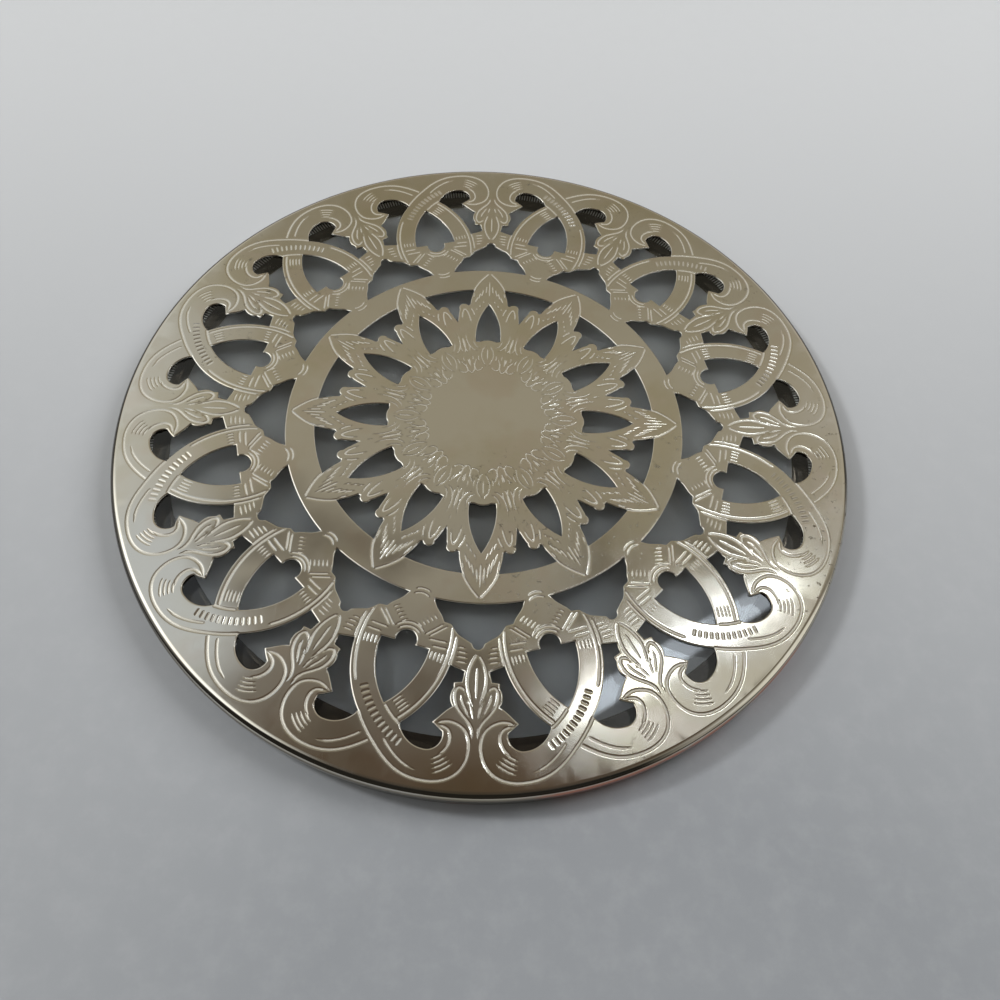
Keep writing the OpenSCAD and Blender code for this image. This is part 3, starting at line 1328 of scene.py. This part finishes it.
@dataclass(frozen=True)
class RimWearAndShade:
    """The rim's worn copper, and painted shade on its wall and its shoulder that darkens their reflections,
    by place on the plate (metres).
    """

    # Painted shade on the rim's wall, darkest in front, where it stands in for the dark table that the wall
    # mirrors; the same colour is the real tarnish of the specks
    tarnish_and_shade: Rgb = (0.2, 0.17, 0.12)
    shaded_wall_levels: Ramp = (0.0055, 0.0049)
    shaded_wall_r: float = 0.0883
    shaded_wall_near_to_far: Ramp = (-0.05, 0.0, 0.85, 0.35)
    copper: Rgb = (0.64, 0.27, 0.18)
    copper_share: float = 0.9
    copper_levels: Ramp = (0.0057, 0.005)
    copper_r: Ramp = (0.0876, 0.0884)
    copper_at: Place = (0.46, -0.89, 0.0)
    copper_more: Ramp = (0.07, 0.089, -0.14, 0.16)
    copper_less: Ramp = (0.03, -0.02, 0.0, 0.3)
    copper_scale: float = 60
    copper_ramp: Ramp = (0.52, 0.62)
    # Painted shade on the shoulder that dims its highlights; little of it towards the lower right, where the
    # highlight stays
    shoulder_shade: Rgb = (0.022, 0.019, 0.015)
    shoulder_shade_levels: Ramp = (0.00602, 0.0059)
    shoulder_shade_r: float = 0.0872
    shoulder_shade_foot: Ramp = (0.0054, 0.0055)
    shoulder_shade_far_foot: Ramp = (0.005, 0.0051)
    shoulder_shade_far: Ramp = (-0.076, -0.05)
    shoulder_shade_share: Ramp = (0.97, 0.92)
    unshaded_at: Place = (0.788, -0.616, 0.0)
    unshaded: Ramp = (0.076, 0.083, 1.0, 0.12)

    def _copper_part(self, n: PlateNodes) -> Socket:
        """Work out how far the plating is worn through.

        Args:
            n: Nodes of the plate.

        Returns:
            The socket with the share, in patches that gather on one side of the rim.
        """
        toward = n.toward(self.copper_at)
        patchy = n.math("ADD", n.noise(n.where, self.copper_scale), n.between(toward, *self.copper_more))
        patchy = n.math("SUBTRACT", patchy, n.between(toward, *self.copper_less))
        on_rim = n.product(n.between(n.radius, *self.copper_r), n.between(n.level, *self.copper_levels))
        return n.product(n.between(patchy, *self.copper_ramp), on_rim, self.copper_share)

    def _shoulder_shade_part(self, n: PlateNodes) -> Socket:
        """Work out how dark the painted shade lies on the shoulder, where it dims the highlights.

        Args:
            n: Nodes of the plate.

        Returns:
            The socket with the share: a narrow band in front, a broad one at the back.
        """
        broad = n.product(n.between(n.level, *self.shoulder_shade_far_foot), n.between(n.along, *self.shoulder_shade_far))
        return n.product(
            n.between(n.level, *self.shoulder_shade_levels),
            n.above(n.radius, self.shoulder_shade_r),
            n.math("MAXIMUM", broad, n.between(n.level, *self.shoulder_shade_foot)),
            n.between(n.along, *self.shoulder_shade_far, *self.shoulder_shade_share),
            n.between(n.toward(self.unshaded_at), *self.unshaded),
        )

    def over(self, n: PlateNodes, colour: Socket) -> Socket:
        """Lay the worn copper and the painted shade of the rim's wall and shoulder over a colour.

        Args:
            n: Nodes of the plate.
            colour: Socket with the colour of the clean plate.

        Returns:
            The socket with the colour of the worn plate with its painted shade.
        """
        # Painted shade on the rim's wall, stronger in front than at the back
        wall = n.product(
            n.between(n.level, *self.shaded_wall_levels),
            n.above(n.radius, self.shaded_wall_r),
            n.between(n.along, *self.shaded_wall_near_to_far),
        )
        colour = n.blend(wall, colour, self.tarnish_and_shade)
        colour = n.blend(self._copper_part(n), colour, self.copper)
        # Painted shade on the shoulder
        return n.blend(self._shoulder_shade_part(n), colour, self.shoulder_shade)


@dataclass(frozen=True)
class Pleats:
    """The fine pleats of the lip, whose tops carry a painted highlight that shows through the glass as pale
    stripes (metres).
    """

    painted_highlight: Rgb = (0.96, 0.94, 0.89)
    count: float = 680.0
    ramp: Ramp = (-0.8, 0.7)
    inner_r: Ramp = (0.0802, 0.0807)
    outer_r: Ramp = (0.0826, 0.0821)
    top_level: float = 0.0012

    def band(self, n: PlateNodes) -> Socket:
        """Where on the plate the pleats lie."""
        ring = n.product(n.between(n.radius, *self.inner_r), n.between(n.radius, *self.outer_r))
        return n.product(ring, n.below(n.level, self.top_level))

    def stripes(self, n: PlateNodes) -> Socket:
        """The tops of the pleats, where the painted highlight lies, as stripes that run out from the middle.
        """
        wave = n.math("SINE", n.product(n.math("ARCTAN2", n.along, n.across), self.count))
        return n.between(wave, *self.ramp)


@dataclass(frozen=True)
class SilverPlate:
    """Old silver plate: warm, a little clouded, specked with tarnish and worn on the rim, with painted shade
    on the rim and the hidden surfaces and a painted highlight on the lip's pleats (metres).
    """

    bright: Rgb = (0.86, 0.825, 0.745)
    clouded: Rgb = (0.775, 0.72, 0.58)
    rosy: Rgb = (0.83, 0.755, 0.66)
    clouds: Cloud = Cloud(38, 4, (0.42, 0.68))
    blush: Cloud = Cloud(85, 3, (0.5, 0.66, 0.0, 0.7))
    specks: Cloud = Cloud(620, 3, (0.6, 0.7), 0.7)
    speck_zones: Cloud = Cloud(16, 2, (0.53, 0.66))
    speck_share: float = 0.8
    speck_rough: float = 0.3
    wear_and_shade: RimWearAndShade = RimWearAndShade()
    cut: Rgb = (0.88, 0.845, 0.75)
    cut_ramp: Ramp = (0.62, 0.8)
    cut_matt: float = 0.3
    cut_rough: float = 0.25
    # Painted shade: the hidden underside and lip are silver plate, coloured nearly black for the dark gap
    # between the sheet and the glass
    inside: Rgb = (0.045, 0.038, 0.03)
    inside_shade_levels: Pair = (0.0003, 0.00565)
    inside_shade_r: float = 0.08845
    inside_rough: float = 0.12
    pleats: Pleats = Pleats()
    pleat_rough: float = 0.3
    polish: Cloud = Cloud(70, 4, (0.35, 0.75, 0.06, 0.16))
    scratches: Cloud = Cloud(1500, 2, (0.62, 0.75, 0.0, 0.04))
    scratch_turn: Place = (0.0, 0.0, 0.6)
    scratch_stretch: Place = (1.0, 0.06, 1.0)
    dent_scale: float = 45
    dent_depth: float = 0.00003

    def material(self) -> bpy.types.Material:
        """Build the finish as nodes on Object coordinates.

        Returns:
            The material.
        """
        made = bpy.data.materials.new("silver_plate")
        n = PlateNodes(made)
        speck = n.product(self.specks.share(n, n.where), self.speck_zones.share(n, n.where))
        mark = n.add("Attribute", {"attribute_name": "chased"}).outputs["Fac"]
        line = n.between(mark, *self.cut_ramp)
        low, high = self.inside_shade_levels
        hidden_shaded = n.product(
            n.below(n.level, high), n.above(n.level, low), n.below(n.radius, self.inside_shade_r)
        )
        band = n.product(self.pleats.band(n), hidden_shaded)
        colour = n.blend(self.clouds.share(n, n.where), self.bright, self.clouded)
        colour = n.blend(self.blush.share(n, n.where), colour, self.rosy)
        colour = self.wear_and_shade.over(n, colour)
        colour = n.blend(n.product(speck, self.speck_share), colour, self.wear_and_shade.tarnish_and_shade)
        colour = n.blend(line, colour, self.cut)
        # Painted shade on the hidden underside and lip
        colour = n.blend(hidden_shaded, colour, self.inside)
        # Painted highlight on the tops of the lip's pleats
        colour = n.blend(n.product(band, self.pleats.stripes(n)), colour, self.pleats.painted_highlight)
        n.into("Base Color", colour)
        matt = n.math("MAXIMUM", n.product(line, self.cut_matt), band)
        n.into("Metallic", n.math("SUBTRACT", 1.0, matt))
        streaked = n.add(
            "Mapping", None, Vector=n.where, Rotation=self.scratch_turn, Scale=self.scratch_stretch
        )
        rough = n.math(
            "ADD",
            self.polish.share(n, n.where),
            n.product(speck, self.speck_rough),
            n.product(line, self.cut_rough),
            n.product(hidden_shaded, self.inside_rough),
            n.product(band, self.pleat_rough),
            self.scratches.share(n, streaked.outputs[0]),
        )
        n.into("Roughness", rough)
        dents = n.noise(n.where, self.dent_scale, detail=2, rough=0.4)
        bump = n.add("Bump", None, Strength=1.0, Distance=self.dent_depth, Height=dents)
        n.into("Normal", bump.outputs["Normal"])
        return made


@dataclass(frozen=True)
class ClearGlass:
    """Smooth clear glass with the faint film of old cleaning marks."""

    tint: Rgb = (0.84, 0.865, 0.87)
    ior: float = 1.55
    shine: float = 1.0
    film: Cloud = Cloud(45, 4, (0.5, 0.75, 0.0, 0.06))

    def material(self) -> bpy.types.Material:
        """Build the finish as nodes on Object coordinates.

        Returns:
            The material.
        """
        made = bpy.data.materials.new("clear_glass")
        n = Nodes(made)
        n.into("Base Color", (*self.tint, 1))
        n.into("Transmission Weight", 1.0)
        n.into("IOR", self.ior)
        n.into("Specular IOR Level", self.shine)
        n.into("Roughness", self.film.share(n, n.add("TexCoord").outputs["Object"]))
        return made


@dataclass(frozen=True)
class PaleTable:
    """Matt, pale table top with a trace of grain, with painted shade that darkens it towards the near side
    and a painted shadow before the trivet.
    """

    pale: Rgb = (0.655, 0.672, 0.692)
    shade: Rgb = (0.315, 0.332, 0.356)
    # Painted shade from the far side to the near side
    far_way: Place = (-0.05, 1.0, 0.0)
    far_to_near: Ramp = (-0.22, 0.2)
    # Painted shadow: a soft dark patch on the table before the trivet
    shadow_at: Place = (0.03, -0.12, 0.0)
    painted_shadow: Ramp = (0.0, 0.13, 0.26, 0.0)
    grain: Rgb = (0.6, 0.61, 0.63)
    grain_clouds: Cloud = Cloud(160, 6, (0.4, 0.75), 0.65)
    grain_share: float = 0.12
    roughness: float = 0.6
    shine: float = 0.3

    def material(self) -> bpy.types.Material:
        """Build the finish as nodes on Object coordinates.

        Returns:
            The material.
        """
        made = bpy.data.materials.new("pale_table")
        n = Nodes(made)
        where = n.add("TexCoord").outputs["Object"]
        # Painted shade, darker towards the near side
        lit_share = n.between(n.vector("DOT_PRODUCT", where, self.far_way), *self.far_to_near)
        # Painted shadow before the trivet
        shadow_share = n.between(n.vector("DISTANCE", where, self.shadow_at), *self.painted_shadow)
        colour = n.blend(n.math("SUBTRACT", lit_share, shadow_share, clamp=True), self.shade, self.pale)
        grain = n.product(self.grain_clouds.share(n, where), self.grain_share)
        n.into("Base Color", n.blend(grain, colour, self.grain))
        n.into("Roughness", self.roughness)
        n.into("Specular IOR Level", self.shine)
        return made


@dataclass(frozen=True)
class Window:
    """A bright window of the room: middle and size as seen one metre above the table, turn and light."""

    middle: Point
    size: Pair
    turn: float
    glow: Rgb
    soft: Pair = (0.65, 0.35)

    def share(self, n: Nodes, u: Socket, v: Socket) -> Socket:
        """Work out how much of the window lies in a direction.

        Args:
            n: Nodes of the room.
            u: Distance to the right for each metre of height.
            v: Distance to the far side for each metre of height.

        Returns:
            The socket with the share, from 0 to 1.
        """
        c, s = math.cos(math.radians(self.turn)), math.sin(math.radians(self.turn))
        du, dv = n.math("SUBTRACT", u, self.middle[0]), n.math("SUBTRACT", v, self.middle[1])
        along = n.math("ADD", n.product(du, c), n.product(dv, s))
        across = n.math("SUBTRACT", n.product(dv, c), n.product(du, s))
        parts = []
        for part, size in zip((along, across), self.size):
            parts.append(n.between(n.math("ABSOLUTE", part), *(size * edge for edge in self.soft)))
        return n.product(*parts)


class Seen(Enum):
    """Which rays meet a wall of the room."""

    ALWAYS = ""
    IN_MIRRORS = "Is Glossy Ray"


@dataclass(frozen=True)
class Wall:
    """A wall of the room with soft edges: its light, and the ramps of x, y and z that bound its directions.

    The turn, where there is one, is a ramp from the far side over the top, which the wall fills as well.
    """

    glow: Rgb
    x: tuple[Ramp, ...]
    y: tuple[Ramp, ...]
    z: tuple[Ramp, ...] = ()
    turn: Ramp = ()
    seen: Seen = Seen.ALWAYS

    def share(self, n: Nodes, way: tuple[Socket, ...], turn: Socket) -> Socket:
        """Work out how much of the wall lies in a direction.

        Args:
            n: Nodes of the room.
            way: Sockets with the x, y and z of the direction.
            turn: Socket with its turn from the far side over the top, 1 at the near side.

        Returns:
            The socket with the share, from 0 to 1.
        """
        bounds = zip(way, (self.x, self.y, self.z))
        share = n.product(*(n.between(value, *ramp) for value, ramps in bounds for ramp in ramps))
        if self.turn:
            share = n.math("MAXIMUM", share, n.between(turn, *self.turn))
        if self.seen is not Seen.ALWAYS:
            share = n.product(share, n.add("LightPath").outputs[self.seen.value])
        return share


@dataclass(frozen=True)
class Lamp:
    """A soft square lamp that faces the trivet and gives it a shadow on the table (metres and watts)."""

    name: str
    place: Place
    size: float
    power: float

    def hang(self) -> None:
        """Put the lamp in its place; the plate mirrors the walls of the room and not the lamp."""
        data = bpy.data.lights.new(self.name, "AREA")
        data.size = self.size
        data.energy = self.power
        lamp = bpy.data.objects.new(self.name, data)
        bpy.context.scene.collection.objects.link(lamp)
        lamp.location = self.place
        lamp.rotation_euler = Vector(self.place).to_track_quat("Z", "Y").to_euler()
        lamp.visible_camera = lamp.visible_glossy = False


@dataclass
class Studio:
    """Table, soft room light and camera, placed where the photograph was taken (metres)."""

    eye: Place = (-0.00086, -0.11183, 0.1713)
    right: Place = (0.9991, 0.0182, 0.0391)
    up: Place = (-0.0346, 0.8801, 0.4736)
    lens: float = 29.11
    sensor: float = 36
    nearest: float = 0.005
    table_size: float = 6.0
    lamps: tuple[Lamp, ...] = (
        Lamp("key_lamp", (-1.43, 0.58, 1.28), 0.28, 16.0),
        Lamp("fill_lamp", (1.38, 0.84, 1.18), 1.1, 24.5),
    )
    background: Rgb = (0.62, 0.63, 0.65)
    far_to_near: tuple[tuple[float, Rgb], ...] = (
        (0.0, (0.12, 0.1, 0.08)),
        (0.06, (0.14, 0.12, 0.1)),
        (0.11, (0.45, 0.42, 0.37)),
        (0.165, (0.42, 0.39, 0.33)),
        (0.2, (0.25, 0.23, 0.175)),
        (0.22, (0.25, 0.225, 0.165)),
        (0.305, (0.32, 0.295, 0.23)),
        (0.37, (0.29, 0.27, 0.22)),
        (0.42, (0.18, 0.16, 0.135)),
        (0.45, (0.09, 0.065, 0.045)),
        (0.62, (0.06, 0.048, 0.038)),
        (0.72, (0.006, 0.005, 0.004)),
        (1.0, (0.006, 0.005, 0.004)),
    )
    clutter: Rgb = (0.09, 0.075, 0.056)
    clutter_clouds: Cloud = Cloud(11, 2, (0.5, 0.66, 0.0, 0.75))
    clutter_far: Ramp = (0.55, 0.38)
    left_glow: Wall = Wall(
        (0.56, 0.57, 0.55), x=((-0.22, -0.46),), y=((-0.3, 0.0),), z=((0.25, 0.45),)
    )
    left_wall: Wall = Wall(
        (1.45, 1.47, 1.45), x=((-0.3, -0.62),), y=((-0.5, -0.2), (0.44, 0.24)), z=((0.04, 0.2),)
    )
    right_wall: Wall = Wall((0.42, 0.4, 0.36), x=((0.3, 0.46),), y=((0.1, 0.45),), z=((0.25, 0.45),))
    near_wall: Wall = Wall(
        (0.3, 0.29, 0.262), x=((0.35, 0.6),), y=((0.2, 0.0),), turn=(0.66, 0.8), seen=Seen.IN_MIRRORS
    )
    side_window: Wall = Wall(
        (0.86, 0.87, 0.86), x=((0.55, 0.8),), y=((0.08, -0.02), (-0.5, -0.3)), seen=Seen.IN_MIRRORS
    )
    windows: tuple[Window, ...] = (
        Window((0.33, 0.308), (0.41, 0.22), 28, (0.56, 0.56, 0.54)),
        Window((0.275, 0.337), (0.34, 0.03), 32, (5.4, 5.9, 6.4)),
        Window((-0.43, 0.365), (0.27, 0.17), -50, (0.52, 0.55, 0.57)),
    )
    lowest: float = 0.02

    def table(self) -> None:
        """Lay the table top under the trivet."""
        bpy.ops.object.select_all(action="DESELECT")
        bpy.ops.mesh.primitive_plane_add(size=self.table_size)
        floor = bpy.context.active_object
        floor.name = floor.data.name = "table_top"
        floor.data.materials.append(PaleTable().material())

    def camera(self) -> None:
        """Set the camera at the photograph's place."""
        data = bpy.data.cameras.new("camera")
        data.lens = self.lens
        data.sensor_width = self.sensor
        data.clip_start = self.nearest
        camera = bpy.data.objects.new("camera", data)
        bpy.context.scene.collection.objects.link(camera)
        right = Vector(self.right).normalized()
        back = right.cross(Vector(self.up)).normalized()
        rows = Matrix((right, back.cross(right), back)).transposed().to_4x4()
        camera.matrix_world = Matrix.Translation(self.eye) @ rows
        bpy.context.scene.camera = camera

    def _ceiling(self, n: Nodes, turn: Socket) -> Socket:
        """The room's light from the far side over the top to the near side.

        Args:
            n: Nodes of the room.
            turn: Socket with the turn from the far side, 1 at the near side.

        Returns:
            The socket with the colour.
        """
        ramp = n.add("ValToRGB", None, Fac=turn)
        ramp.color_ramp.interpolation = "EASE"
        elements = ramp.color_ramp.elements
        while len(elements) < len(self.far_to_near):
            elements.new(0.5)
        for element, (place, colour) in zip(elements, self.far_to_near):
            element.position = place
            element.color = (*colour, 1)
        return ramp.outputs["Color"]

    def room(self) -> None:
        """Give the room its soft walls, ceiling and windows, as light from every direction."""
        world = bpy.data.worlds.new("room")
        bpy.context.scene.world = world
        n = Nodes(world)
        way = n.add("TexCoord").outputs["Generated"]
        x, y, z = n.add("SeparateXYZ", None, Vector=way).outputs
        turn = n.math("DIVIDE", n.math("ARCTAN2", z, y), math.pi)
        dim = n.product(self.clutter_clouds.share(n, way), n.between(y, *self.clutter_far))
        colour = n.blend(dim, self._ceiling(n, turn), self.clutter)
        for wall in (self.left_glow, self.left_wall, self.right_wall, self.near_wall, self.side_window):
            colour = n.blend(wall.share(n, (x, y, z), turn), colour, wall.glow)
        height = n.math("MAXIMUM", z, self.lowest)
        u, v = n.math("DIVIDE", x, height), n.math("DIVIDE", y, height)
        for window in self.windows:
            colour = n.blend(window.share(n, u, v), colour, window.glow)
        colour = n.blend(n.add("LightPath").outputs["Is Camera Ray"], colour, self.background)
        n.join(colour, n.tree.nodes["Background"].inputs["Color"])

    def build(self) -> None:
        """Set up the whole studio."""
        self.table()
        self.camera()
        self.room()
        for lamp in self.lamps:
            lamp.hang()


def main() -> None:
    """Build the trivet and the studio in order, and report each piece."""
    bpy.context.scene.view_settings.view_transform = "Standard"
    _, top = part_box("pierced_top")
    sheet = PiercedSheet(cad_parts["pierced_top"], rim_r=top.x / MM, height=top.z / MM)
    low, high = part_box("glass_disc")
    glass = GlassDisc(radius=high.x / MM, low_z=low.z / MM, top_z=high.z / MM)
    for part in (sheet, glass):
        piece = part.build()
        part.dress(piece)
        log.info("%s: %d faces", piece.name, len(piece.data.polygons))
    Studio().build()


if __name__ == "__main__":
    logging.basicConfig(level=logging.INFO, format="%(message)s")
    main()
